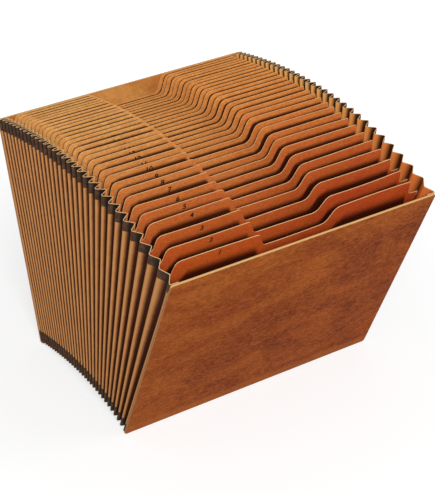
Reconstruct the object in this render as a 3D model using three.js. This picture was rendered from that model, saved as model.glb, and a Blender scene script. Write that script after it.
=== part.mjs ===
// Expanding file folder: 31 numbered pockets between two stiff covers, standing fanned open.
// Millimetres, +Z up. X runs across the file, the front cover is at -Y and leans forward.
// The origin is on the table, under the middle of the file.

import * as THREE from 'three';

// Overall file
const FILE_WIDTH = 305;
const COVER_HEIGHT = 260;
const POCKETS = 31;

// Board, card and tape
const COVER_BOARD = 2.4;
const DIVIDER_CARD = 0.5;
const GUSSET_CARD = 0.4;
const TAPE_THICKNESS = 0.2;
const SEAT_GAP = 0.3;

// How far the file is fanned open: leans in degrees, and a fade counted in pockets
const FRONT_LEAN = 22.6;
const REAR_LEAN = 14.9;
const BOTTOM_PITCH = 5.45;
const FRONT_PITCH_EXTRA = 1.8;
const FRONT_WEDGE_FACTOR = 4.8;
const FRONT_FADE_COUNT = 9.4;

// Covers
const COVER_DROP = 3;
const COVER_CORNER_RADIUS = 3;

// Side and bottom gussets
const SIDE_PANEL = 10;
const BOTTOM_PANEL = 8;
const GLUE_FLAP = 9;
const GROOVE_WIDTH = 0.6;

// Reinforcing tapes on the side gussets
const TOP_TAPE_HEIGHT = 12.5;
const BOTTOM_TAPE_HEIGHT = 14;

// Outline of a divider
const TAB_RISE = 19;
const LEFT_TAB_MARGIN = 18.5;
const LEFT_TAB_WIDTH = 91;
const RIGHT_TAB_MARGIN = 16;
const RIGHT_TAB_WIDTH = 90.5;
const OUTER_SLANT = 3.5;
const INNER_SLANT = 8.5;
const TAB_CORNER_RADIUS = 6;
const STEP_CORNER_RADIUS = 3.5;
const END_CORNER_RADIUS = 1.5;
const SLANT_FOOT_RADIUS = 4;
const CORNER_STEPS = 3;

// Colours and surfaces
const COVER_COLOR = 0xa25a2a;
const GUSSET_COLOR = 0xc27a45;
const BOTTOM_GUSSET_COLOR = 0xb56c3a;
const TAPE_COLOR = 0x3e2a20;
const FRONT_DIVIDER_COLOR = new THREE.Color(0xb8542c);
const REAR_DIVIDER_COLOR = new THREE.Color(0xd6935a);
const COVER_ROUGHNESS = 0.6;
const CARD_ROUGHNESS = 0.75;
const TAPE_ROUGHNESS = 0.8;

// Two points of an outline closer than this are one point
const SAME_POINT = 1e-6;

// Sizes that follow from the ones above
const GUSSET_HEIGHT = COVER_HEIGHT - COVER_DROP;
const CROWN_HALF = DIVIDER_CARD / 2 + SEAT_GAP + GUSSET_CARD / 2;
const VALLEY_HALF = GROOVE_WIDTH / 2 + GUSSET_CARD / 2;
const SIDE_CROWN_DEPTH = TAPE_THICKNESS + GUSSET_CARD / 2;
const BOTTOM_CROWN_DEPTH = GUSSET_CARD / 2;
const COVER_OFFSET = CROWN_HALF + GUSSET_CARD / 2 + SEAT_GAP;
const DIVIDER_SIDE = SIDE_CROWN_DEPTH + GUSSET_CARD / 2 + SEAT_GAP;
const DIVIDER_FOOT = BOTTOM_CROWN_DEPTH + GUSSET_CARD / 2 + SEAT_GAP;

// The fan: fold 0 is at the front cover and fold 31 at the rear cover. Each pocket is a wedge
// with a pitch at its foot and an angle, and both are wider towards the front.
function fanFolds() {
  const weights = [];
  for (let pocket = 0; pocket < POCKETS; pocket += 1) {
    weights.push(Math.exp(-pocket / FRONT_FADE_COUNT));
  }
  const wedges = weights.map((weight) => 1 + (FRONT_WEDGE_FACTOR - 1) * weight);
  const wedgeSum = wedges.reduce((sum, wedge) => sum + wedge, 0);
  const spread = THREE.MathUtils.degToRad(FRONT_LEAN + REAR_LEAN);
  const folds = [{ lean: -THREE.MathUtils.degToRad(FRONT_LEAN), y: 0, z: 0 }];
  for (let pocket = 0; pocket < POCKETS; pocket += 1) {
    const last = folds[pocket];
    const lean = last.lean + (spread * wedges[pocket]) / wedgeSum;
    const pitch = BOTTOM_PITCH + FRONT_PITCH_EXTRA * weights[pocket];
    const middle = (last.lean + lean) / 2;
    folds.push({
      lean,
      y: last.y + pitch * Math.cos(middle),
      z: last.z - pitch * Math.sin(middle),
    });
  }
  return folds;
}

const FOLDS = fanFolds();
const LAST_FOLD = POCKETS;

// A point on a fold's line, at a height up its divider and an offset towards the rear.
function foldPoint(fold, height, offset = 0) {
  const { lean, y, z } = FOLDS[fold];
  return {
    y: y + height * Math.sin(lean) + offset * Math.cos(lean),
    z: z + height * Math.cos(lean) - offset * Math.sin(lean),
  };
}

// Distances along the chain of folds at one height, from fold 0 to each fold.
function foldStations(height) {
  const stations = [0];
  for (let fold = 1; fold <= LAST_FOLD; fold += 1) {
    const here = foldPoint(fold, height);
    const before = foldPoint(fold - 1, height);
    stations.push(stations[fold - 1] + Math.hypot(here.y - before.y, here.z - before.z));
  }
  return stations;
}

// The point a distance along the chain of folds at one height.
function alongFan(distance, height, stations) {
  let fold = 0;
  while (fold < LAST_FOLD - 1 && distance > stations[fold + 1]) {
    fold += 1;
  }
  const from = foldPoint(fold, height);
  const to = foldPoint(fold + 1, height);
  const share = (distance - stations[fold]) / (stations[fold + 1] - stations[fold]);
  return { y: from.y + (to.y - from.y) * share, z: from.z + (to.z - from.z) * share };
}

// Middle line of a pleated strip at one height: a glue flap, then a flat crown at each fold
// and a flat valley between two folds, then the other flap. Points are [along, depth].
function pleatLine(stations, crownDepth, panel, flap) {
  const line = [[-CROWN_HALF, crownDepth + flap]];
  stations.forEach((station, fold) => {
    line.push([station - CROWN_HALF, crownDepth]);
    line.push([station + CROWN_HALF, crownDepth]);
    if (fold < LAST_FOLD) {
      const middle = (station + stations[fold + 1]) / 2;
      const run = (stations[fold + 1] - station) / 2 - CROWN_HALF - VALLEY_HALF;
      const valleyDepth = crownDepth + Math.sqrt(Math.max(panel * panel - run * run, 0));
      line.push([middle - VALLEY_HALF, valleyDepth]);
      line.push([middle + VALLEY_HALF, valleyDepth]);
    }
  });
  line.push([stations[LAST_FOLD] + CROWN_HALF, crownDepth + flap]);
  return line;
}

// A line moved sideways by a distance, with mitred corners. Positive is out of the file.
function offsetLine(line, distance) {
  const normals = line.slice(1).map(([along, depth], index) => {
    const [startAlong, startDepth] = line[index];
    const length = Math.hypot(along - startAlong, depth - startDepth);
    return [(depth - startDepth) / length, -(along - startAlong) / length];
  });
  return line.map(([along, depth], index) => {
    const before = normals[Math.max(index - 1, 0)];
    const after = normals[Math.min(index, normals.length - 1)];
    const scale = distance / (1 + before[0] * after[0] + before[1] * after[1]);
    return [along + (before[0] + after[0]) * scale, depth + (before[1] + after[1]) * scale];
  });
}

// A closed solid from two sheets of points, sheet[row][column], one over the other.
function sheetSolid(outer, inner) {
  const rows = outer.length;
  const columns = outer[0].length;
  const positions = [];
  [outer, inner].forEach((sheet) => {
    sheet.forEach((row) => row.forEach((point) => positions.push(...point)));
  });
  const index = [];
  const at = (side, row, column) => (side * rows + row) * columns + column;
  const quad = (a, b, c, d) => index.push(a, b, c, a, c, d);
  for (let row = 0; row < rows - 1; row += 1) {
    for (let column = 0; column < columns - 1; column += 1) {
      quad(at(0, row, column), at(0, row, column + 1), at(0, row + 1, column + 1), at(0, row + 1, column));
      quad(at(1, row, column), at(1, row + 1, column), at(1, row + 1, column + 1), at(1, row, column + 1));
    }
  }
  for (let column = 0; column < columns - 1; column += 1) {
    const top = rows - 1;
    quad(at(0, 0, column), at(1, 0, column), at(1, 0, column + 1), at(0, 0, column + 1));
    quad(at(0, top, column), at(0, top, column + 1), at(1, top, column + 1), at(1, top, column));
  }
  for (let row = 0; row < rows - 1; row += 1) {
    const end = columns - 1;
    quad(at(0, row, 0), at(0, row + 1, 0), at(1, row + 1, 0), at(1, row, 0));
    quad(at(0, row, end), at(1, row, end), at(1, row + 1, end), at(0, row + 1, end));
  }
  const geometry = new THREE.BufferGeometry();
  geometry.setAttribute('position', new THREE.Float32BufferAttribute(positions, 3));
  geometry.setIndex(index);
  geometry.computeVertexNormals();
  return geometry;
}

// Every face of a geometry turned over, for a mirrored copy.
function flipFaces(geometry) {
  const index = geometry.getIndex();
  for (let face = 0; face < index.count; face += 3) {
    const second = index.getX(face + 1);
    index.setX(face + 1, index.getX(face + 2));
    index.setX(face + 2, second);
  }
  geometry.computeVertexNormals();
  return geometry;
}

// One row of a side strip: the pleat line at a height, moved out of the file, in space.
// side is -1 at the left end of the file and +1 at the right end.
function sideRow(height, distance, side, skipFlaps) {
  const stations = foldStations(height);
  const line = offsetLine(pleatLine(stations, SIDE_CROWN_DEPTH, SIDE_PANEL, GLUE_FLAP), distance);
  const used = skipFlaps ? line.slice(1, -1) : line;
  return used.map(([along, depth]) => {
    const { y, z } = alongFan(along, height, stations);
    return [side * (FILE_WIDTH / 2 - depth), y, z];
  });
}

function sideStrip(heights, innerDistance, outerDistance, side, skipFlaps) {
  const outer = heights.map((height) => sideRow(height, outerDistance, side, skipFlaps));
  const inner = heights.map((height) => sideRow(height, innerDistance, side, skipFlaps));
  const geometry = sheetSolid(outer, inner);
  return side < 0 ? flipFaces(geometry) : geometry;
}

function sideGusset(side) {
  const heights = [0, BOTTOM_TAPE_HEIGHT, GUSSET_HEIGHT - TOP_TAPE_HEIGHT, GUSSET_HEIGHT];
  return sideStrip(heights, -GUSSET_CARD / 2, GUSSET_CARD / 2, side, false);
}

// A tape lies face to face on the gusset, from the front crown to the rear one.
function sideTape(lowest, highest, side) {
  const inside = GUSSET_CARD / 2;
  return sideStrip([lowest, highest], inside, inside + TAPE_THICKNESS, side, true);
}

// The deepest that a side gusset reaches into the file at its foot, where the pitch is least.
function sideReach() {
  const line = pleatLine(foldStations(0), SIDE_CROWN_DEPTH, SIDE_PANEL, GLUE_FLAP);
  return Math.max(...line.map(([, depth]) => depth)) + GUSSET_CARD / 2;
}

// The bottom gusset has the side gussets' pleats turned upwards, and ends between their folds.
function bottomGusset() {
  const halfLength = FILE_WIDTH / 2 - sideReach() - SEAT_GAP;
  const stations = foldStations(0);
  const line = pleatLine(stations, BOTTOM_CROWN_DEPTH, BOTTOM_PANEL, GLUE_FLAP);
  const row = (distance, x) => offsetLine(line, distance).map(([along, height]) => {
    const stationsHere = foldStations(height);
    const fold = nearestFold(stations, along);
    const shifted = stationsHere[fold] + (along - stations[fold]);
    const { y, z } = alongFan(shifted, height, stationsHere);
    return [x, y, z];
  });
  const outer = [row(GUSSET_CARD / 2, -halfLength), row(GUSSET_CARD / 2, halfLength)];
  const inner = [row(-GUSSET_CARD / 2, -halfLength), row(-GUSSET_CARD / 2, halfLength)];
  return sheetSolid(outer, inner);
}

function nearestFold(stations, along) {
  let nearest = 0;
  stations.forEach((station, fold) => {
    if (Math.abs(station - along) < Math.abs(stations[nearest] - along)) {
      nearest = fold;
    }
  });
  return nearest;
}

// An outline with rounded corners, from points [x, y, radius].
function roundedShape(corners) {
  const shape = new THREE.Shape();
  corners.forEach(([x, y, radius], index) => {
    const corner = new THREE.Vector2(x, y);
    const before = corners[(index + corners.length - 1) % corners.length];
    const after = corners[(index + 1) % corners.length];
    const towards = (point) => new THREE.Vector2(point[0] - x, point[1] - y);
    const setBack = (way) => Math.min(radius, way.length() / 2);
    const start = towards(before);
    const end = towards(after);
    start.setLength(setBack(start)).add(corner);
    end.setLength(setBack(end)).add(corner);
    if (index === 0) {
      shape.moveTo(start.x, start.y);
    } else {
      shape.lineTo(start.x, start.y);
    }
    if (radius > 0) {
      shape.quadraticCurveTo(x, y, end.x, end.y);
    }
  });
  shape.closePath();
  return shape;
}

// A divider: two tabs with a recess between them, and low shoulders beside the side gussets.
function dividerGeometry() {
  const half = FILE_WIDTH / 2;
  const side = half - DIVIDER_SIDE;
  const top = GUSSET_HEIGHT;
  const shoulder = GUSSET_HEIGHT - TAB_RISE;
  const leftStart = -half + LEFT_TAB_MARGIN;
  const leftEnd = leftStart + LEFT_TAB_WIDTH;
  const rightEnd = half - RIGHT_TAB_MARGIN;
  const rightStart = rightEnd - RIGHT_TAB_WIDTH;
  const shape = roundedShape([
    [-side, DIVIDER_FOOT, 0],
    [side, DIVIDER_FOOT, 0],
    [side, shoulder, 0],
    [rightEnd + OUTER_SLANT, shoulder, SLANT_FOOT_RADIUS],
    [rightEnd, top, END_CORNER_RADIUS],
    [rightStart, top, TAB_CORNER_RADIUS],
    [rightStart - INNER_SLANT, shoulder, TAB_CORNER_RADIUS],
    [leftEnd + INNER_SLANT, shoulder, STEP_CORNER_RADIUS],
    [leftEnd, top, STEP_CORNER_RADIUS],
    [leftStart, top, TAB_CORNER_RADIUS],
    [leftStart - OUTER_SLANT, shoulder, SLANT_FOOT_RADIUS],
    [-side, shoulder, 0],
  ]);
  const options = { depth: DIVIDER_CARD, bevelEnabled: false, curveSegments: CORNER_STEPS };
  const geometry = new THREE.ExtrudeGeometry(shape, options);
  geometry.translate(0, 0, -DIVIDER_CARD / 2);
  return geometry;
}

// The table is level with the lower ends of both covers.
function tableLevel() {
  const front = foldPoint(0, -COVER_DROP, -COVER_OFFSET).z;
  const rear = foldPoint(LAST_FOLD, -COVER_DROP, COVER_OFFSET).z;
  return Math.min(front, rear);
}

// A cover is a board on its fold's plane, and its foot is cut level so that it stands flat.
// facing is -1 for the front cover and +1 for the rear cover.
function coverGeometry(fold, facing) {
  const half = FILE_WIDTH / 2;
  const level = tableLevel();
  const { lean } = FOLDS[fold];
  const face = (offset) => {
    const foot = (level - foldPoint(fold, 0, offset).z) / Math.cos(lean);
    const shape = roundedShape([
      [-half, foot, COVER_CORNER_RADIUS],
      [half, foot, COVER_CORNER_RADIUS],
      [half, GUSSET_HEIGHT, COVER_CORNER_RADIUS],
      [-half, GUSSET_HEIGHT, COVER_CORNER_RADIUS],
    ]);
    return shape.getPoints(CORNER_STEPS).map(({ x, y }) => {
      const point = foldPoint(fold, y, offset);
      return new THREE.Vector3(x, point.y, point.z);
    });
  };
  const inside = face(facing * COVER_OFFSET);
  const outside = face(facing * (COVER_OFFSET + COVER_BOARD));
  return facing < 0 ? loopSolid(outside, inside) : loopSolid(inside, outside);
}

// A closed solid between two loops of points. The first loop runs anticlockwise seen from
// its own outside.
function loopSolid(first, second) {
  const closes = first[0].distanceTo(first[first.length - 1]) < SAME_POINT;
  const count = closes ? first.length - 1 : first.length;
  const near = first.slice(0, count);
  const far = second.slice(0, count);
  const positions = [...near, ...far].flatMap((point) => point.toArray());
  const index = [];
  for (let corner = 1; corner < count - 1; corner += 1) {
    index.push(0, corner, corner + 1);
    index.push(count, count + corner + 1, count + corner);
  }
  for (let corner = 0; corner < count; corner += 1) {
    const next = (corner + 1) % count;
    index.push(corner, count + corner, count + next);
    index.push(corner, count + next, next);
  }
  const geometry = new THREE.BufferGeometry();
  geometry.setAttribute('position', new THREE.Float32BufferAttribute(positions, 3));
  geometry.setIndex(index);
  geometry.computeVertexNormals();
  return geometry;
}

function piece(name, geometry, color, roughness) {
  const material = new THREE.MeshStandardMaterial({ color, roughness, metalness: 0 });
  const mesh = new THREE.Mesh(geometry, material);
  mesh.name = name;
  return mesh;
}

const fan = new THREE.Group();

fan.add(piece('front_cover', coverGeometry(0, -1), COVER_COLOR, COVER_ROUGHNESS));
fan.add(piece('rear_cover', coverGeometry(LAST_FOLD, 1), COVER_COLOR, COVER_ROUGHNESS));

[['left', -1], ['right', 1]].forEach(([name, side]) => {
  const topTape = sideTape(GUSSET_HEIGHT - TOP_TAPE_HEIGHT, GUSSET_HEIGHT, side);
  const bottomTape = sideTape(0, BOTTOM_TAPE_HEIGHT, side);
  fan.add(piece(`${name}_gusset`, sideGusset(side), GUSSET_COLOR, CARD_ROUGHNESS));
  fan.add(piece(`${name}_top_tape`, topTape, TAPE_COLOR, TAPE_ROUGHNESS));
  fan.add(piece(`${name}_bottom_tape`, bottomTape, TAPE_COLOR, TAPE_ROUGHNESS));
});

fan.add(piece('bottom_gusset', bottomGusset(), BOTTOM_GUSSET_COLOR, CARD_ROUGHNESS));

for (let fold = 1; fold <= LAST_FOLD; fold += 1) {
  const number = String(fold).padStart(2, '0');
  const color = FRONT_DIVIDER_COLOR.clone().lerp(REAR_DIVIDER_COLOR, fold / LAST_FOLD);
  const divider = piece(`divider_${number}`, dividerGeometry(), color, CARD_ROUGHNESS);
  divider.rotation.x = Math.PI / 2 - FOLDS[fold].lean;
  divider.position.set(0, FOLDS[fold].y, FOLDS[fold].z);
  fan.add(divider);
}

// The fan stands on the table, with the middle of its depth over the origin.
const frontMost = foldPoint(0, GUSSET_HEIGHT, -COVER_OFFSET - COVER_BOARD).y;
const rearMost = foldPoint(LAST_FOLD, GUSSET_HEIGHT, COVER_OFFSET + COVER_BOARD).y;
fan.position.set(0, -(frontMost + rearMost) / 2, -tableLevel());

const file = new THREE.Group();
file.add(fan);

export default file;
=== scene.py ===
"""Looks of an expanding file folder that stands fanned open on a white table.

Metres, +Z up, the front cover at -Y. Every card piece is a grid surface worked out with numpy.
The fold planes are read from the frame's own dividers and covers. Attributes of the grids say
how deep in a fold or pocket and how near a cut edge each point lies, and materials follow them,
with painted shade in the folds and pockets.
"""

import math

import bmesh
import bpy
import numpy as np
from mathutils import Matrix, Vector


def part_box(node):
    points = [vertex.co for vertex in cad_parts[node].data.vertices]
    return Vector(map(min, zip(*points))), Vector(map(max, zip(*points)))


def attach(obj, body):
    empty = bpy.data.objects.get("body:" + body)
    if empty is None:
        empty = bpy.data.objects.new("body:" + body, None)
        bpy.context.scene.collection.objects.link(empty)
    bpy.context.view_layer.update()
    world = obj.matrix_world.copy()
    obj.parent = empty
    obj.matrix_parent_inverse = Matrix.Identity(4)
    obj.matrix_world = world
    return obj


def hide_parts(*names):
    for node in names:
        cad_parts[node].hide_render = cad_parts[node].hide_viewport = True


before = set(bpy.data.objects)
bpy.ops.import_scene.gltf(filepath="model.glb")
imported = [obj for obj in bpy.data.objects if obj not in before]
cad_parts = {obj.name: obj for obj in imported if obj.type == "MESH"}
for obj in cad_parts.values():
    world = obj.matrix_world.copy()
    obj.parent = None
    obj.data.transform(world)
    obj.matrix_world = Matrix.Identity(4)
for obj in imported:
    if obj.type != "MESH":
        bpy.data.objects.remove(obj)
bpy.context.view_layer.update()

MM = 0.001
rng = np.random.default_rng(31)

# Card, tape and pleats
DIVIDER_COUNT = 31
DIVIDER_CARD = 0.5 * MM
GUSSET_CARD = 0.4 * MM
TAPE_THICKNESS = 0.2 * MM
TAPE_SINK = 0.05 * MM
SEAT_GAP = 0.3 * MM
GROOVE_WIDTH = 0.6 * MM
SIDE_PANEL = 10 * MM
BOTTOM_PANEL = 8 * MM
GLUE_FLAP = 9 * MM
SPAN_COUNT = 4 * DIVIDER_COUNT + 3
CREASE_RADIUS = 0.3 * MM
TOP_TAPE_HEIGHT = 12.5 * MM
BOTTOM_TAPE_HEIGHT = 14 * MM
CROWN_HALF = DIVIDER_CARD / 2 + SEAT_GAP + GUSSET_CARD / 2
VALLEY_HALF = GROOVE_WIDTH / 2 + GUSSET_CARD / 2
CROWN_DEPTH = TAPE_THICKNESS + GUSSET_CARD / 2
BOTTOM_CROWN_DEPTH = GUSSET_CARD / 2
DIVIDER_SIDE = CROWN_DEPTH + GUSSET_CARD / 2 + SEAT_GAP
DIVIDER_FOOT = GUSSET_CARD + SEAT_GAP
COVER_OFFSET = CROWN_HALF + GUSSET_CARD / 2 + SEAT_GAP

# Outline of a divider
TAB_RISE = 19 * MM
LEFT_TAB_MARGIN = 18.5 * MM
LEFT_TAB_WIDTH = 91 * MM
RIGHT_TAB_MARGIN = 16 * MM
RIGHT_TAB_WIDTH = 90.5 * MM
OUTER_SLANT = 3.5 * MM
INNER_SLANT = 8.5 * MM
TAB_CORNER_RADIUS = 6 * MM
STEP_CORNER_RADIUS = 3.5 * MM
END_CORNER_RADIUS = 1.5 * MM
SLANT_FOOT_RADIUS = 4 * MM

# How finely the grids are cut: distances from a cut edge, below a divider's top and shares of
# the bottom gusset's half width, then counts and steps
GUSSET_INSETS = np.array([0, 0.3, 0.7, 1.4, 3]) * MM
COVER_INSETS = np.array([0, 0.08, 0.2, 0.4, 0.6, 1, 2, 3, 6]) * MM
DIVIDER_ROWS = np.array([0, 0.3, 0.6, 1, 1.6, 3, 6, 12, 20, 45, 90, 140, 190]) * MM
BOTTOM_SHARES = np.array([-1, -0.985, -0.9, -0.5, 0, 0.5, 0.9, 0.985, 1])[:, None]
GUSSET_ROW_COUNT = 22
TAPE_ROW_COUNT = 6
COVER_COLUMN_COUNT = 36
COVER_ROW_COUNT = 32
CORNER_STEPS = 7
RUN_STEP = 9 * MM
PANEL_SHARES = (0.33, 0.67)
SHARP_ANGLE = math.radians(40)

# Covers
COVER_CORNER_RADIUS = 3 * MM
COVER_EDGE_ROUNDING = 0.6 * MM
COVER_BOW = 1.0 * MM

# How uneven the card is: a divider's bow as a share of the mouth before it, the strengths of
# its three waves, a panel's bulge and the least and greatest share of it, and what is added to
# the distance from the cut edge where that edge is painted duller, as shade
DIVIDER_BOW = 0.15
BOW_WAVES = (1.0, 0.45, 0.3)
PANEL_BULGE = 0.5 * MM
BULGE_SHARES = (-0.25, 1)
STEP_EDGE_SHADE = 0.22 * MM

# Painted shade in the folds: its strength by a groove's depth over its pitch and over the
# panel's length, the pitch that has just this shade, how fast it grows in tighter ones, and its
# share on the inside
GROOVE_SHADE = 0.75
DEPTH_SHADE = 0.45
TIGHT_PITCH = 8 * MM
TIGHT_POWER = 0.3
INSIDE_SHADE = 0.6

# Painted shade in the pockets: the point (y, z) that light is taken to fall in from, and how
# far it slips to the right over the mouth of a pocket, as a share of that mouth
LIGHT_FROM = np.array([-1.45, 1.12])
LIGHT_SLIP = 0.45

# Numbers on the left tabs
NUMBER_SIZE = 8.6 * MM
NUMBER_FROM_LEFT = 67 * MM
NUMBER_BELOW_TOP = 7.2 * MM
INK_THICKNESS = 0.06 * MM
INK_SPREAD = 0.22 * MM

# The table, how strongly it glows to the camera near the file and far from it, and the light
# that comes from all round
TABLE_SIZE = 14
GLOW_REACH = (0.2, 0.8)
GLOW_NEAR_AND_FAR = (0.68, 0.9)
WORLD_LIGHT = 0.36

# The photograph's camera, in degrees and metres
CAMERA_AZIMUTH = -32.42
CAMERA_ELEVATION = 32.71
CAMERA_DISTANCE = 1.711
CAMERA_TARGET = (0.0120, 0.0040, 0.1271)
CAMERA_LENS_MM = 116.9


def colour(red, green, blue):
    """A display colour, 0 to 255, as the linear colour that a shader takes."""
    display = np.array([red, green, blue]) / 255
    linear = np.where(display <= 0.04045, display / 12.92, ((display + 0.055) / 1.055) ** 2.4)
    return (*linear.tolist(), 1.0)


# Fold planes, read from the frame

def seen_from_side(node):
    """The points (y, z) of a CAD node."""
    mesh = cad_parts[node].data
    points = np.empty(len(mesh.vertices) * 3)
    mesh.vertices.foreach_get("co", points)
    return points.reshape(-1, 3)[:, 1:]


def rearward(up):
    """The direction square to a card, towards the rear, from its direction upwards."""
    return np.stack([up[..., 1], -up[..., 0]], -1)


def upward(points):
    """The direction in which points seen from the side spread most, turned upwards."""
    direction = np.linalg.svd(points - points.mean(0))[2][0]
    return direction * np.sign(direction[1])


def divider_plane(node):
    """Foot of the fold that a divider sits in, its direction upwards and its height."""
    points = seen_from_side(node)
    up = upward(points)
    middle = (points.min(0) + points.max(0)) / 2
    reach = (points - middle) @ up
    foot = middle + up * (reach.min() - DIVIDER_FOOT)
    return foot, up, reach.max() - reach.min() + DIVIDER_FOOT


def cover_face(node, facing, side):
    """The top (y, z) and the direction upwards of one face of a cover.
    facing is -1 for the front cover and +1 for the rear one, side +1 for its outer face."""
    points = seen_from_side(node)
    reach = points @ rearward(upward(points)) * facing * side
    face = points[reach > (reach.min() + reach.max()) / 2]
    top = face[face[:, 1].argmax()]
    low = face[face[:, 1].argmin()]
    return top, (top - low) / np.linalg.norm(top - low)


planes = [divider_plane(f"divider_{k:02d}") for k in range(1, DIVIDER_COUNT + 1)]
HEIGHT = planes[0][2]
front_inner_top, front_up = cover_face("front_cover", -1, -1)
front_outer_top, _ = cover_face("front_cover", -1, 1)
COVER_BOARD = abs((front_outer_top - front_inner_top) @ rearward(front_up))
front_foot = front_inner_top - HEIGHT * front_up + COVER_OFFSET * rearward(front_up)
FOLD_FOOT = np.array([front_foot] + [plane[0] for plane in planes])
FOLD_UP = np.array([front_up] + [plane[1] for plane in planes])
FOLD_REAR = rearward(FOLD_UP)
FOLD_TOP = FOLD_FOOT + HEIGHT * FOLD_UP
MOUTHS = np.linalg.norm(np.diff(FOLD_TOP, axis=0), axis=1)
HALF_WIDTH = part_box("front_cover")[1].x


# Meshes

# Values for the outer and the inner face of a card, as the attribute "inside"
OUTER_AND_INNER = np.array([0.0, 1.0])[:, None, None]


def linked(name, data):
    """A new object in the scene."""
    made = bpy.data.objects.new(name, data)
    bpy.context.scene.collection.objects.link(made)
    return made


def slab(name, face, back, **attributes):
    """A closed card from two grids of points [row, column, 3], joined round their rims.
    Each attribute is a grid of numbers that both faces take, or a pair of grids."""
    rows, columns = face.shape[:2]
    at = np.arange(2 * rows * columns).reshape(2, rows, columns)

    def strip(first, second):
        return np.stack([first[:-1], first[1:], second[1:], second[:-1]], -1).reshape(-1, 4)

    quads = [strip(sheet[row], sheet[row + 1]) for sheet in at for row in range(rows - 1)]
    rims = [at[:, 0], at[:, -1], at[:, :, 0], at[:, :, -1]]
    quads += [strip(rim[0], rim[1]) for rim in rims]
    mesh = bpy.data.meshes.new(name)
    points = np.concatenate([face.reshape(-1, 3), back.reshape(-1, 3)])
    mesh.from_pydata(points.tolist(), [], np.concatenate(quads).tolist())
    for label, grid in attributes.items():
        values = np.broadcast_to(grid, (2, rows, columns)).ravel()
        layer = mesh.attributes.new(label, "FLOAT", "POINT")
        layer.data.foreach_set("value", values.astype(np.float32))
    return finished(mesh, name)


def finished(mesh, name):
    """A mesh with its faces outwards and its sharp edges kept, as an object in the scene."""
    work = bmesh.new()
    work.from_mesh(mesh)
    bmesh.ops.recalc_face_normals(work, faces=work.faces[:])
    work.to_mesh(mesh)
    work.free()
    mesh.shade_smooth()
    mesh.set_sharp_from_angle(angle=SHARP_ANGLE)
    return linked(name, mesh)


def dress(piece, material, slot, *nodes):
    """The piece takes its material, rides on the root and stands for its CAD nodes."""
    piece.data.materials.append(material)
    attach(piece, "root")
    if nodes:
        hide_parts(*nodes)


# Pleated side gussets and their tapes

def valley_depth(pitch, crown=CROWN_DEPTH, panel=SIDE_PANEL):
    """Depth of a valley under the file's side, where two panels close up to a pitch."""
    run = pitch / 2 - CROWN_HALF - VALLEY_HALF
    return crown + np.sqrt(np.maximum(panel ** 2 - run ** 2, 0))


def pleat_corners(heights, crown, panel):
    """Corners of a gusset's middle line at each height: a flap, then a flat crown at each fold
    and a flat valley halfway between two folds, then a flap. Returns (along, depth) as
    [height, corner, 2], the folds in space, their stations and the pitch between them."""
    folds = FOLD_FOOT + heights[:, None, None] * FOLD_UP
    pitch = np.linalg.norm(np.diff(folds, axis=1), axis=2)
    stations = np.concatenate([np.zeros((len(heights), 1)), pitch.cumsum(1)], 1)
    valley = valley_depth(pitch, crown, panel)
    middle = (stations[:, 1:] + stations[:, :-1]) / 2
    corners = np.full((len(heights), SPAN_COUNT + 1, 2), crown)
    corners[:, 0] = (-CROWN_HALF, crown + GLUE_FLAP)
    corners[:, 1::4, 0] = stations - CROWN_HALF
    corners[:, 2::4, 0] = stations + CROWN_HALF
    corners[:, 3:SPAN_COUNT:4, 0] = middle - VALLEY_HALF
    corners[:, 4::4, 0] = middle + VALLEY_HALF
    corners[:, 3:SPAN_COUNT:4, 1] = valley
    corners[:, 4::4, 1] = valley
    corners[:, SPAN_COUNT, 0] = stations[:, -1] + CROWN_HALF
    corners[:, SPAN_COUNT, 1] = crown + GLUE_FLAP
    return corners, folds, stations, pitch


def pleat_line(heights, bulges, crown=CROWN_DEPTH, panel=SIDE_PANEL):
    """The middle line with rounded creases and bulged panels, as [height, point, 2], and the
    pocket that each point lies in. Each rounded fold is a quadratic curve through
    (before + 2 corner + after) / 4, and a panel bulges square to itself by
    bulge * sin(pi t) * sqrt(sin(pi height / HEIGHT))."""
    corners, folds, stations, pitch = pleat_corners(heights, crown, panel)
    ways = np.diff(corners, axis=1)
    lengths = np.linalg.norm(ways, axis=2, keepdims=True)
    units = ways / np.maximum(lengths, 1e-9)
    square = np.stack([units[..., 1], -units[..., 0]], -1)
    lift = np.sin(math.pi * np.clip(heights / HEIGHT, 0, 1))[:, None] ** 0.5
    parts, homes = [corners[:, :1]], [0]
    for corner in range(SPAN_COUNT):
        for share in PANEL_SHARES:
            bulge = bulges[corner] * math.sin(math.pi * share) * lift
            point = corners[:, corner] + ways[:, corner] * share + square[:, corner] * bulge
            parts.append(point[:, None])
            homes.append(corner)
        if corner < SPAN_COUNT - 1:
            bend = corners[:, corner + 1]
            before = bend - units[:, corner] * CREASE_RADIUS
            after = bend + units[:, corner + 1] * CREASE_RADIUS
            middle = (before + 2 * bend + after) / 4
            parts += [before[:, None], middle[:, None], after[:, None]]
            homes += [corner + 1] * 3
    parts.append(corners[:, -1:])
    homes.append(SPAN_COUNT)
    pockets = np.clip((np.array(homes) - 1) // 4, 0, DIVIDER_COUNT - 1)
    return np.concatenate(parts, 1), pockets, folds, stations, pitch


def moved_out(line, distance):
    """A pleated line moved square to itself, out of the file."""
    tangent = np.gradient(line, axis=1)
    tangent /= np.maximum(np.linalg.norm(tangent, axis=2, keepdims=True), 1e-9)
    return line + distance * np.stack([tangent[..., 1], -tangent[..., 0]], -1)


def gusset_sheet(heights, distance, side, bulges):
    """The middle line moved out of the file by a distance, at the left (-1) or right (+1) end.
    Along the fan it goes straight from one fold's line to the next."""
    line, pockets, folds, stations, pitch = pleat_line(heights, bulges)
    moved = moved_out(line, distance)
    share = (moved[..., 0] - stations[:, pockets]) / pitch[:, pockets]
    seen = folds[:, pockets] + share[..., None] * (folds[:, pockets + 1] - folds[:, pockets])
    across = side * (HALF_WIDTH - moved[..., 1])
    return np.concatenate([across[..., None], seen], 2), line[..., 1], pitch[:, pockets]


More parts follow.
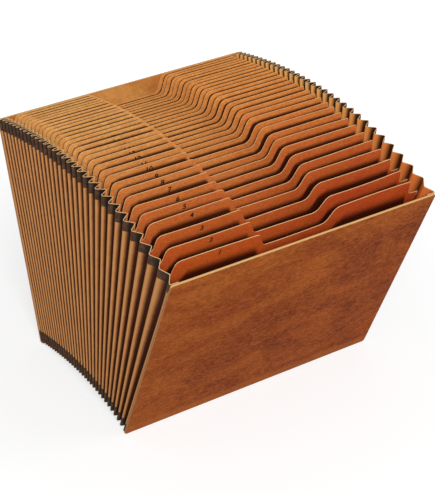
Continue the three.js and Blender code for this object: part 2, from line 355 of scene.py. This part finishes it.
def bottom_pleats(name):
    """The bottom gusset, with its pleats turned upwards. Each point lies on the chain of folds
    at its own height, as far from its nearest fold as the card is folded. The ends follow the
    pleats of the side gussets, so that the corners of the pockets are closed."""
    flat = np.zeros(SPAN_COUNT)
    foot = np.zeros(1)
    line, pockets, _, stations, pitch = pleat_line(foot, flat, BOTTOM_CROWN_DEPTH, BOTTOM_PANEL)
    sides = pleat_line(foot, flat)[0][0, :, 1]
    reach = HALF_WIDTH - sides - GUSSET_CARD / 2 - SEAT_GAP
    beyond = line[0, :, 0] > (stations[0, pockets] + stations[0, pockets + 1]) / 2
    nearest = pockets + beyond

    def sheet(distance):
        along, height = moved_out(line, distance)[0].T
        first = FOLD_FOOT[pockets] + height[:, None] * FOLD_UP[pockets]
        second = FOLD_FOOT[pockets + 1] + height[:, None] * FOLD_UP[pockets + 1]
        way = (second - first) / np.linalg.norm(second - first, axis=1, keepdims=True)
        home = np.where(beyond[:, None], second, first)
        seen = home + way * (along - stations[0, nearest])[:, None]
        seen = np.broadcast_to(seen, (len(BOTTOM_SHARES), *seen.shape))
        return np.concatenate([(BOTTOM_SHARES * reach)[..., None], seen], 2)

    depth = line[0, :, 1]
    deepest = valley_depth(pitch[0, pockets], BOTTOM_CROWN_DEPTH, BOTTOM_PANEL)
    sunk = np.clip([depth - BOTTOM_CROWN_DEPTH, deepest - depth], 0, None)
    # Painted shade in the folds of the bottom gusset, by a groove's depth over its pitch
    crease = np.clip(GROOVE_SHADE * sunk / pitch[0, pockets], 0, 1)[:, None]
    edge = reach - abs(BOTTOM_SHARES * reach)
    return slab(name, sheet(GUSSET_CARD / 2), sheet(-GUSSET_CARD / 2), crease=crease, edge=edge,
                inside=0.0)


def gusset_rows(low, high, count):
    """Heights from low to high, close together at both cut edges."""
    rows = low + GUSSET_INSETS
    last_rows = (high - GUSSET_INSETS)[::-1]
    between = np.linspace(rows[-1], last_rows[0], count)[1:-1]
    return np.concatenate([rows, between, last_rows])


def pleated(name, low, high, inner, outer, side, bulges, count, cuts):
    """A gusset or a tape between two heights and two distances from the middle line.
    cuts are the heights of the card's own cut edges, which show pale. crease is the strength
    of painted shade: it grows with the depth of a groove over how far the pleat is open, outside
    from the crowns and inside from the valleys, so tight pleats are painted dark close to their
    ridges."""
    heights = gusset_rows(low, high, count)
    face, depth, pitch = gusset_sheet(heights, outer, side, bulges)
    back, _, _ = gusset_sheet(heights, inner, side, bulges)
    # Painted shade in the folds, by a groove's depth over its pitch and over the panel, stronger
    # in tight pleats and weaker on the inside
    sunk = np.clip([depth - CROWN_DEPTH, valley_depth(pitch) - depth], 0, None)
    shade = GROOVE_SHADE * sunk / pitch + DEPTH_SHADE * (sunk / SIDE_PANEL) ** 3
    tight = (TIGHT_PITCH / pitch) ** TIGHT_POWER * np.array([1.0, INSIDE_SHADE])[:, None, None]
    edge = np.min([abs(heights - cut) for cut in cuts], axis=0)[:, None]
    return slab(name, face, back, crease=np.clip(shade * tight, 0, 1), edge=edge,
                inside=OUTER_AND_INNER)


# Flat cards

def rounded_line(corners):
    """A line through corners (x, height, radius), each rounded by a quadratic curve
    (1 - t)^2 start + 2 t (1 - t) corner + t^2 end, and straight runs cut into short steps."""
    points = np.array([corner[:2] for corner in corners])
    ways = np.diff(points, axis=0)
    lengths = np.linalg.norm(ways, axis=1)
    line = [points[:1]]
    t = np.linspace(0, 1, CORNER_STEPS)[:, None]
    for index in range(1, len(corners)):
        radius = corners[index][2]
        if index == len(corners) - 1 or radius == 0:
            bend = points[index:index + 1]
        else:
            before, after = ways[index - 1], ways[index]
            start = points[index] - before * min(radius / lengths[index - 1], 0.5)
            end = points[index] + after * min(radius / lengths[index], 0.5)
            bend = (1 - t) ** 2 * start + 2 * t * (1 - t) * points[index] + t ** 2 * end
        gap = np.linalg.norm(bend[0] - line[-1][-1])
        steps = np.linspace(0, 1, max(int(gap / RUN_STEP), 1) + 1)[1:-1, None]
        line += [line[-1][-1] + steps * (bend[0] - line[-1][-1]), bend]
    return np.concatenate(line)


def divider_top():
    """The top edge of a divider from left to right: shoulder, tab, recess, tab, shoulder."""
    side = HALF_WIDTH - DIVIDER_SIDE
    shoulder = HEIGHT - TAB_RISE
    left_start = -HALF_WIDTH + LEFT_TAB_MARGIN
    left_end = left_start + LEFT_TAB_WIDTH
    right_end = HALF_WIDTH - RIGHT_TAB_MARGIN
    right_start = right_end - RIGHT_TAB_WIDTH
    return rounded_line([
        (-side, shoulder, 0),
        (left_start - OUTER_SLANT, shoulder, SLANT_FOOT_RADIUS),
        (left_start, HEIGHT, TAB_CORNER_RADIUS),
        (left_end, HEIGHT, STEP_CORNER_RADIUS),
        (left_end + INNER_SLANT, shoulder, STEP_CORNER_RADIUS),
        (right_start - INNER_SLANT, shoulder, TAB_CORNER_RADIUS),
        (right_start, HEIGHT, TAB_CORNER_RADIUS),
        (right_end, HEIGHT, END_CORNER_RADIUS),
        (right_end + OUTER_SLANT, shoulder, SLANT_FOOT_RADIUS),
        (side, shoulder, 0),
    ])


DIVIDER_TOP = divider_top()
bows = rng.uniform(-1, 1, (DIVIDER_COUNT + 1, 3))


def bow(fold, across, height):
    """How far a divider leans out of its flat plane, towards the rear: waves across it with
    nothing at its glued sides, more towards its free top and where pockets are wider."""
    turn = math.pi * across / (2 * HALF_WIDTH)
    first, second, third = bows[fold] * BOW_WAVES * MOUTHS[fold - 1]
    wave = first * np.cos(turn) + second * np.sin(2 * turn) + third * np.cos(3 * turn)
    return DIVIDER_BOW * wave * np.clip(height / HEIGHT, 0, 1) ** 2


def on_fold(fold, across, height, offset):
    """Points in space on a fold's plane: across the file, up the card, towards the rear."""
    seen = (FOLD_FOOT[fold] + height[..., None] * FOLD_UP[fold]
            + offset[..., None] * FOLD_REAR[fold])
    return np.concatenate([across[..., None], seen], -1)


def light_reach(fold):
    """How far down a divider light is taken to come that just passes over the card before it;
    below that, shade is painted.
    """
    ray = FOLD_TOP[fold - 1] - LIGHT_FROM
    apart = FOLD_TOP[fold] - FOLD_TOP[fold - 1]
    return np.linalg.solve(np.stack([ray, FOLD_UP[fold]], 1), apart)[1]


def divider(fold):
    """A divider card: column x by rows from its foot to its own top edge at that x. sunk is
    the depth below the card before it over how far down light is taken to reach, and sets the
    painted shade deep in the pocket. The cut edge is duller on the step from the left tab down
    to the recess: painted shade, as that edge faces away from the light."""
    across, top = DIVIDER_TOP.T
    share = np.append(DIVIDER_ROWS / HEIGHT, 1 - DIVIDER_FOOT / HEIGHT)[:, None]
    height = np.maximum(top - share * HEIGHT, DIVIDER_FOOT)
    height[-1] = DIVIDER_FOOT
    grid = np.broadcast_to(across, height.shape)
    slope = np.gradient(top, across)
    edge = (top - height) / np.hypot(1, slope)
    edge = np.minimum(edge, across.max() - abs(grid))
    # Painted shade: the pale cut edge is held back on the step down from the left tab
    step = LEFT_TAB_MARGIN + LEFT_TAB_WIDTH - HALF_WIDTH
    stops = step + np.array([-2 * MM, 1 * MM, INNER_SLANT, 20 * MM])
    edge = edge + np.interp(grid, stops, (0, 1, 1, 0)) * STEP_EDGE_SHADE
    middle = bow(fold, grid, height)
    face = on_fold(fold, grid, height, middle - DIVIDER_CARD / 2)
    back = on_fold(fold, grid, height, middle + DIVIDER_CARD / 2)
    before = np.interp(across - LIGHT_SLIP * MOUTHS[fold - 1], across, top)
    sunk = (np.minimum(top, before) - height) / light_reach(fold)
    return slab(f"card_{fold:02d}", face, back, edge=edge, sunk=sunk)


def cover(name, fold, facing):
    """A cover board with a level foot, rounded corners and softened edges. Near an edge each
    face falls back by r - sqrt(r^2 - (r - d)^2), where d is the distance from the edge."""

    def steps(length, count):
        """Distances along a length, close together at both ends."""
        first, last = COVER_INSETS, length - COVER_INSETS[::-1]
        return np.concatenate([first, np.linspace(first[-1], last[0], count)[1:-1], last])

    from_left = steps(2 * HALF_WIDTH, COVER_COLUMN_COUNT)
    near = COVER_OFFSET * facing
    far = (COVER_OFFSET + COVER_BOARD) * facing

    def board_face(offset, towards):
        foot = -(FOLD_FOOT[fold][1] + offset * FOLD_REAR[fold][1]) / FOLD_UP[fold][1]
        length = HEIGHT - foot
        from_foot = steps(length, COVER_ROW_COUNT)[:, None]
        end = np.minimum(from_foot, length - from_foot)
        short = np.maximum(COVER_CORNER_RADIUS - end, 0)
        cut = COVER_CORNER_RADIUS - np.sqrt(COVER_CORNER_RADIUS ** 2 - short ** 2)
        across = (from_left - HALF_WIDTH) * (1 - cut / HALF_WIDTH)
        edge = np.minimum(end, np.minimum(from_left, from_left[::-1]))
        dip = np.maximum(COVER_EDGE_ROUNDING - edge, 0)
        fall = COVER_EDGE_ROUNDING - np.sqrt(COVER_EDGE_ROUNDING ** 2 - dip ** 2)
        height = np.broadcast_to(foot + from_foot, across.shape)
        middle = COVER_BOW * np.cos(math.pi * across / (2 * HALF_WIDTH))
        middle = middle * np.sin(math.pi * from_foot / length) * facing
        points = on_fold(fold, across, height, offset - towards * fall + middle)
        points[..., 2] = np.maximum(points[..., 2], 0)
        return points, edge, from_foot, length

    inner, _, _, _ = board_face(near, -facing)
    outer, edge, from_foot, length = board_face(far, facing)
    return slab(name, outer, inner, edge=edge, rise=from_foot, fall=length - from_foot,
                inside=OUTER_AND_INNER)


def number(fold):
    """The plain number of a pocket, printed on the front face of its left tab."""
    text = bpy.data.curves.new(f"text_{fold:02d}", "FONT")
    text.body = str(fold)
    text.size = NUMBER_SIZE
    text.align_x = "CENTER"
    text.align_y = "CENTER"
    text.extrude = INK_THICKNESS / 2
    text.offset = INK_SPREAD
    text.resolution_u = 3
    source = linked(text.name, text)
    bpy.context.view_layer.update()
    mesh = bpy.data.meshes.new_from_object(source)
    bpy.data.objects.remove(source)
    points = np.empty(len(mesh.vertices) * 3)
    mesh.vertices.foreach_get("co", points)
    right, up, proud = points.reshape(-1, 3).T
    across = -HALF_WIDTH + NUMBER_FROM_LEFT + right
    height = HEIGHT - NUMBER_BELOW_TOP + up
    offset = bow(fold, across, height) - DIVIDER_CARD / 2 - INK_THICKNESS / 2 - proud
    mesh.vertices.foreach_set("co", on_fold(fold, across, height, offset).ravel())
    mesh.name = f"number_{fold:02d}"
    return finished(mesh, mesh.name)


# Materials

# Display colours, in pairs where a material fades from one to the other
COVER_PATCHES = colour(110, 34, 8), colour(178, 84, 24)
COVER_PALE_PATCHES = colour(152, 68, 18), colour(192, 106, 38)
COVER_STREAK = colour(198, 108, 42)
COVER_FIBRE = colour(92, 34, 12)
COVER_FOOT = colour(190, 106, 42)
LINING = colour(198, 124, 58), colour(226, 160, 86)
LINING_FIBRE = colour(170, 98, 46)
BOARD_TOP_AND_SIDES = colour(214, 170, 112), colour(186, 130, 88)
DIVIDER_LEFT_TO_REAR = colour(224, 100, 38), colour(255, 190, 108)
DIVIDER_RIGHT_TO_REAR = colour(214, 82, 38), colour(255, 168, 84)
DIVIDER_SPOT = colour(222, 126, 46)
DIVIDER_FIBRE = colour(132, 48, 20)
DIVIDER_POCKET_SHADE = colour(62, 18, 5)
DIVIDER_EDGE_TO_REAR = colour(248, 206, 150), colour(240, 184, 120)
GUSSET_BLOTCHES = colour(158, 90, 44), colour(188, 118, 64)
GUSSET_STREAK = colour(206, 140, 82)
GUSSET_RIDGE_HIGHLIGHT = colour(230, 166, 104)
GUSSET_LIT_INSIDE_TO_REAR = colour(238, 130, 56), colour(255, 188, 104)
GUSSET_FOLD_SHADE = colour(48, 12, 3)
GUSSET_EDGE = colour(232, 190, 138)
TAPE_CLOTH = colour(72, 50, 34), colour(102, 72, 50)
TAPE_FOLD_SHADE = colour(16, 10, 8)
INK = colour(26, 12, 8), colour(74, 34, 22)
TABLE_GREY = colour(168, 168, 168)
WHITE = colour(255, 255, 255)

FLOAT, VECTOR = "NodeSocketFloat", "NodeSocketVector"


class Nodes:
    """Short calls for one node tree."""

    def __init__(self, tree):
        self.tree = tree

    def join(self, value, socket):
        """Links a value into a socket, or sets it there if it is a constant."""
        if isinstance(value, bpy.types.NodeSocket):
            self.tree.links.new(value, socket)
        else:
            socket.default_value = value

    def add(self, kind, inputs=None, **settings):
        """A new node with its settings and its inputs."""
        node = self.tree.nodes.new(kind)
        for name, value in settings.items():
            setattr(node, name, value)
        for key, value in (inputs or {}).items():
            self.join(value, node.inputs[key])
        return node

    def math(self, operation, first, second=0.0):
        return self.add("ShaderNodeMath", {0: first, 1: second}, operation=operation).outputs[0]

    def invert(self, mask):
        return self.math("SUBTRACT", 1.0, mask)

    def mix(self, share, first, second):
        """From the first colour to the second as share goes from 0 to 1."""
        inputs = {0: share, 6: first, 7: second}
        return self.add("ShaderNodeMix", inputs, data_type="RGBA").outputs[2]

    def tint(self, base, mask, towards, strength):
        """base turned towards a colour, by the mask times a strength."""
        return self.mix(self.math("MULTIPLY", mask, strength), base, towards)

    def fade(self, value, low, high, first=0.0, last=1.0):
        """A smooth change from first to last while value goes from low to high."""
        inputs = {"Value": value, "From Min": low, "From Max": high, "To Min": first,
                  "To Max": last}
        return self.add("ShaderNodeMapRange", inputs, interpolation_type="SMOOTHSTEP").outputs[0]

    def noise(self, vector, scale, detail=4.0, roughness=0.55, distortion=0.0):
        inputs = {"Vector": vector, "Scale": scale, "Detail": detail, "Roughness": roughness,
                  "Distortion": distortion}
        return self.add("ShaderNodeTexNoise", inputs).outputs["Fac"]

    def attribute(self, name):
        return self.add("ShaderNodeAttribute", attribute_name=name).outputs["Fac"]

    def axes(self, vector):
        return self.add("ShaderNodeSeparateXYZ", {0: vector}).outputs


def effect(name, inputs, outputs):
    """An empty node group with named inputs (label, kind, value) and outputs (label, kind).
    Returns the group, its node calls, what it is given and where its results go."""
    group = bpy.data.node_groups.new(name, "ShaderNodeTree")
    for label, kind, value in inputs:
        socket = group.interface.new_socket(label, in_out="INPUT", socket_type=kind)
        if value is not None:
            socket.default_value = value
    for label, kind in outputs:
        group.interface.new_socket(label, in_out="OUTPUT", socket_type=kind)
    nodes = Nodes(group)
    return group, nodes, nodes.add("NodeGroupInput").outputs, nodes.add("NodeGroupOutput").inputs


def mottle_effect():
    """Mottled card: broad blotches, short streaks that run across, and a fine felted grain."""
    group, n, given, result = effect(
        "mottled_card",
        [("Vector", VECTOR, None), ("Blotch Scale", FLOAT, 26.0), ("Streak Scale", FLOAT, 150.0)],
        [("Blotch", FLOAT), ("Streak", FLOAT), ("Grain", FLOAT)],
    )
    stretch = {"Vector": given["Vector"], "Scale": (1.0, 1.0, 1.9), "Rotation": (0.0, 0.35, 0.0)}
    stretched = n.add("ShaderNodeMapping", stretch).outputs[0]
    wide = n.noise(stretched, given["Blotch Scale"], detail=5.0, roughness=0.6, distortion=0.5)
    short = n.noise(stretched, given["Streak Scale"], detail=4.0, roughness=0.65, distortion=0.9)
    fine = n.noise(given["Vector"], 1400.0, detail=3.0, roughness=0.7)
    n.join(n.fade(wide, 0.34, 0.68), result["Blotch"])
    n.join(n.fade(short, 0.32, 0.7), result["Streak"])
    n.join(fine, result["Grain"])
    return group


def cut_edge_effect():
    """A mask that is 1 at a cut edge and fades within Width, with a slightly torn border."""
    group, n, given, result = effect(
        "cut_edge",
        [("Vector", VECTOR, None), ("Distance", FLOAT, 1.0), ("Width", FLOAT, 0.4 * MM)],
        [("Mask", FLOAT)],
    )
    torn = n.noise(given["Vector"], 420.0, detail=2.0)
    reach = n.math("MULTIPLY", given["Width"], n.fade(torn, 0.25, 0.75, 0.55, 1.5))
    share = n.math("DIVIDE", given["Distance"], reach)
    n.join(n.fade(share, 0.45, 1.0, 1.0, 0.0), result["Mask"])
    return group


def weave_effect():
    """Cloth tape: two sets of crossing threads as a height, and threads rubbed thin as a mask."""
    group, n, given, result = effect(
        "cloth_weave",
        [("Vector", VECTOR, None), ("Threads", FLOAT, 1700.0)],
        [("Height", FLOAT), ("Worn", FLOAT)],
    )
    _, along, up = n.axes(given["Vector"])
    waves = [n.math("ABSOLUTE", n.math("SINE", n.math("MULTIPLY", axis, given["Threads"])))
             for axis in (along, up)]
    n.join(n.math("MULTIPLY", *waves), result["Height"])
    n.join(n.fade(n.noise(given["Vector"], 210.0, detail=5.0), 0.42, 0.72), result["Worn"])
    return group


MOTTLE = mottle_effect()
CUT_EDGE = cut_edge_effect()
WEAVE = weave_effect()


def material(name, specular, roughness=0.5):
    """A new material with its node calls, its shader's inputs and its Object coordinates."""
    made = bpy.data.materials.new(name)
    made.use_nodes = True
    n = Nodes(made.node_tree)
    shader = made.node_tree.nodes["Principled BSDF"].inputs
    n.join(specular, shader["Specular IOR Level"])
    n.join(roughness, shader["Roughness"])
    return made, n, shader, n.add("ShaderNodeTexCoord").outputs["Object"]


def place(n, group, **inputs):
    """The outputs of an effect placed in a material with its own values."""
    node = n.add("ShaderNodeGroup", node_tree=group)
    for label, value in inputs.items():
        n.join(value, node.inputs[label.replace("_", " ")])
    return node.outputs


def relief(n, shader, height, distance, strength):
    """Bump from a height, on the shader's normal."""
    inputs = {"Height": height, "Distance": distance, "Strength": strength}
    n.join(n.add("ShaderNodeBump", inputs).outputs[0], shader["Normal"])


def cover_material():
    """Leathery pressboard: red-brown patches in orange-brown, paler towards the upper left and
    along its foot, with a tan lining and pale edges."""
    made, n, shader, here = material("leathery_pressboard", specular=0.05)
    look = place(n, MOTTLE, Vector=here, Blotch_Scale=15.0, Streak_Scale=200.0)
    across, _, up = n.axes(here)
    paler = n.fade(n.math("SUBTRACT", up, across), -0.1, 0.34)
    patches = n.mix(look["Blotch"], *COVER_PATCHES)
    pale_patches = n.mix(look["Blotch"], *COVER_PALE_PATCHES)
    upper = n.mix(paler, patches, pale_patches)
    streaked = n.tint(upper, look["Streak"], COVER_STREAK, strength=0.45)
    fibres = n.math("MULTIPLY", n.invert(look["Streak"]), 0.42)
    marked = n.mix(fibres, streaked, COVER_FIBRE)
    foot = n.fade(n.attribute("rise"), 8 * MM, 18 * MM, 1.0, 0.0)
    footed = n.tint(marked, foot, COVER_FOOT, strength=0.6)
    lining = n.mix(fibres, n.mix(look["Blotch"], *LINING), LINING_FIBRE)
    faced = n.mix(n.attribute("inside"), footed, lining)
    rim = place(n, CUT_EDGE, Vector=here, Distance=n.attribute("edge"), Width=0.4 * MM)
    board = n.mix(n.fade(n.attribute("fall"), 1 * MM, 4 * MM), *BOARD_TOP_AND_SIDES)
    n.join(n.mix(rim["Mask"], faced, board), shader["Base Color"])
    n.join(n.fade(look["Streak"], 0.0, 1.0, 0.62, 0.48), shader["Roughness"])
    height = n.math("ADD", look["Streak"], n.math("MULTIPLY", look["Grain"], 0.5))
    relief(n, shader, height, distance=0.09 * MM, strength=0.5)
    return made


def divider_material():
    """Mottled card, redder at the front and at the right, tan at the rear, with pale cut edges
    and painted shade deep in the pockets, where light is taken not to reach down."""
    made, n, shader, here = material("mottled_divider_card", specular=0.12, roughness=0.72)
    look = place(n, MOTTLE, Vector=here, Blotch_Scale=46.0, Streak_Scale=260.0)
    across, rearwards, _ = n.axes(here)
    depth = n.fade(rearwards, -0.18, 0.09)
    left = n.mix(depth, *DIVIDER_LEFT_TO_REAR)
    right = n.mix(depth, *DIVIDER_RIGHT_TO_REAR)
    base = n.mix(n.fade(across, -0.09, 0.07), left, right)
    spotted = n.tint(base, look["Blotch"], DIVIDER_SPOT, strength=0.3)
    marked = n.tint(spotted, n.invert(look["Streak"]), DIVIDER_FIBRE, strength=0.38)
    # Painted shade deep in the pockets, below where light is taken to reach
    pocket_shade = n.fade(n.attribute("sunk"), 0.5, 1.0, 0.0, 0.96)
    shaded = n.mix(pocket_shade, marked, DIVIDER_POCKET_SHADE)
    rim = place(n, CUT_EDGE, Vector=here, Distance=n.attribute("edge"), Width=0.3 * MM)
    edge = n.mix(depth, *DIVIDER_EDGE_TO_REAR)
    n.join(n.mix(rim["Mask"], shaded, edge), shader["Base Color"])
    relief(n, shader, look["Grain"], distance=0.05 * MM, strength=0.4)
    return made


def gusset_material():
    """Tan, fibrous gusset card with a painted highlight along its ridges, painted shade in its
    folds and a pale cut edge. Its inside is painted lighter, as if lit, and redder there at the
    front."""
    made, n, shader, here = material("creased_gusset_card", specular=0.12, roughness=0.7)
    look = place(n, MOTTLE, Vector=here, Blotch_Scale=38.0, Streak_Scale=320.0)
    _, rearwards, _ = n.axes(here)
    base = n.mix(look["Blotch"], *GUSSET_BLOTCHES)
    marked = n.tint(base, look["Streak"], GUSSET_STREAK, strength=0.3)
    # Painted highlight along the ridges, where the painted fold shade is least
    ridge_highlight = n.fade(n.attribute("crease"), 0.0, 0.16, 0.7, 0.0)
    lit = n.mix(ridge_highlight, marked, GUSSET_RIDGE_HIGHLIGHT)
    # Painted light on the inside: a lighter colour, redder at the front
    lit_inside = n.mix(n.fade(rearwards, -0.17, 0.06), *GUSSET_LIT_INSIDE_TO_REAR)
    faced = n.tint(lit, n.attribute("inside"), lit_inside, strength=0.85)
    # Painted shade in the folds, near black
    folded = n.fade(n.attribute("crease"), 0.03, 0.22, 0.0, 0.95)
    fold_shaded = n.mix(folded, faced, GUSSET_FOLD_SHADE)
    rim = place(n, CUT_EDGE, Vector=here, Distance=n.attribute("edge"), Width=0.4 * MM)
    n.join(n.mix(rim["Mask"], fold_shaded, GUSSET_EDGE), shader["Base Color"])
    relief(n, shader, look["Grain"], distance=0.05 * MM, strength=0.4)
    return made


def tape_material():
    """Dark brown cloth tape, with painted shade near black in the folds, and the pale cut edge
    of the card.
    """
    made, n, shader, here = material("dark_cloth_tape", specular=0.15, roughness=0.66)
    cloth = place(n, WEAVE, Vector=here)
    # Painted shade in the folds, near black
    folded = n.fade(n.attribute("crease"), 0.03, 0.24, 0.0, 0.96)
    dark = n.mix(folded, n.mix(cloth["Worn"], *TAPE_CLOTH), TAPE_FOLD_SHADE)
    rim = place(n, CUT_EDGE, Vector=here, Distance=n.attribute("edge"), Width=0.4 * MM)
    n.join(n.mix(rim["Mask"], dark, GUSSET_EDGE), shader["Base Color"])
    relief(n, shader, cloth["Height"], distance=0.08 * MM, strength=0.5)
    return made


def ink_material():
    """Printing ink that has soaked unevenly into the card."""
    made, n, shader, here = material("number_ink", specular=0.3, roughness=0.6)
    patchy = n.fade(n.noise(here, 900.0, detail=3.0), 0.3, 0.75)
    n.join(n.mix(patchy, *INK), shader["Base Color"])
    return made


cover_look = cover_material()
divider_look = divider_material()
gusset_look = gusset_material()
tape_look = tape_material()
ink_look = ink_material()


# Pieces

dress(cover("front_board", 0, -1), cover_look, "cover_board", "front_cover")
dress(cover("rear_board", DIVIDER_COUNT, 1), cover_look, "cover_board", "rear_cover")

for fold in range(1, DIVIDER_COUNT + 1):
    dress(divider(fold), divider_look, "divider_card", f"divider_{fold:02d}")
    dress(number(fold), ink_look, None)

for side, name in ((-1, "left"), (1, "right")):
    bulges = rng.uniform(*BULGE_SHARES, SPAN_COUNT) * PANEL_BULGE
    bulges[1::2] = 0  # crowns and valleys stay flat
    half = GUSSET_CARD / 2
    gusset = pleated(f"{name}_pleats", 0, HEIGHT, -half, half, side, bulges, GUSSET_ROW_COUNT,
                     cuts=(0, HEIGHT))
    dress(gusset, gusset_look, "gusset_card", f"{name}_gusset")
    for end, low, high, cut in (
        ("top", HEIGHT - TOP_TAPE_HEIGHT, HEIGHT, HEIGHT),
        ("bottom", 0, BOTTOM_TAPE_HEIGHT, 0),
    ):
        tape = pleated(f"{name}_{end}_binding", low, high, half - TAPE_SINK,
                       half + TAPE_THICKNESS, side, bulges, TAPE_ROW_COUNT, cuts=(cut,))
        dress(tape, tape_look, "dark_tape", f"{name}_{end}_tape")

dress(bottom_pleats("foot_pleats"), gusset_look, "gusset_card", "bottom_gusset")


# Floor, light and camera

def seen_directly(n):
    """1 for a ray from the camera, a reflection or a clear surface, and 0 for lighting."""
    path = n.add("ShaderNodeLightPath").outputs
    seen = n.math("MAXIMUM", path["Is Camera Ray"], path["Is Glossy Ray"])
    return n.math("MAXIMUM", seen, path["Is Transmission Ray"])


def floor_material():
    """A white table that shows as white to the camera and keeps the file's shadow. Away from
    the file, where the lamps reach less, it glows a little more."""
    made, n, shader, here = material("white_table", specular=0.1, roughness=0.9)
    n.join(TABLE_GREY, shader["Base Color"])
    n.join(WHITE, shader["Emission Color"])
    away = n.add("ShaderNodeVectorMath", {0: here}, operation="LENGTH").outputs["Value"]
    glow = n.fade(away, *GLOW_REACH, *GLOW_NEAR_AND_FAR)
    n.join(n.math("MULTIPLY", seen_directly(n), glow), shader["Emission Strength"])
    return made


def white_world():
    """Even light from all round, white where a ray sees it directly."""
    world = bpy.data.worlds.new("studio")
    world.use_nodes = True
    n = Nodes(world.node_tree)
    background = world.node_tree.nodes["Background"].inputs
    n.join(WHITE, background["Color"])
    n.join(n.fade(seen_directly(n), 0.0, 1.0, WORLD_LIGHT, 1.0), background["Strength"])
    bpy.context.scene.world = world


def lamp(name, position, size, power):
    """A square soft lamp that looks at the middle of the file."""
    light = bpy.data.lights.new(name, "AREA")
    light.size = size
    light.energy = power
    source = linked(name, light)
    source.location = position
    aim = Vector(CAMERA_TARGET) - Vector(position)
    source.rotation_euler = aim.to_track_quat("-Z", "Y").to_euler()


bpy.ops.mesh.primitive_plane_add(size=TABLE_SIZE)
table = bpy.context.object
table.name = "table"
table.data.materials.append(floor_material())

white_world()
lamp("key", position=(-1.0, -2.1, 1.8), size=0.9, power=50)
lamp("fill", position=(2.0, -1.4, 1.2), size=1.4, power=14)

bpy.context.scene.view_settings.view_transform = "Standard"

azimuth, elevation = math.radians(CAMERA_AZIMUTH), math.radians(CAMERA_ELEVATION)
back = Vector((
    math.sin(azimuth) * math.cos(elevation),
    -math.cos(azimuth) * math.cos(elevation),
    math.sin(elevation),
))
lens = bpy.data.cameras.new("photo_camera")
lens.lens = CAMERA_LENS_MM
camera = linked("photo_camera", lens)
camera.location = Vector(CAMERA_TARGET) + back * CAMERA_DISTANCE
camera.rotation_euler = back.to_track_quat("Z", "Y").to_euler()
bpy.context.scene.camera = camera
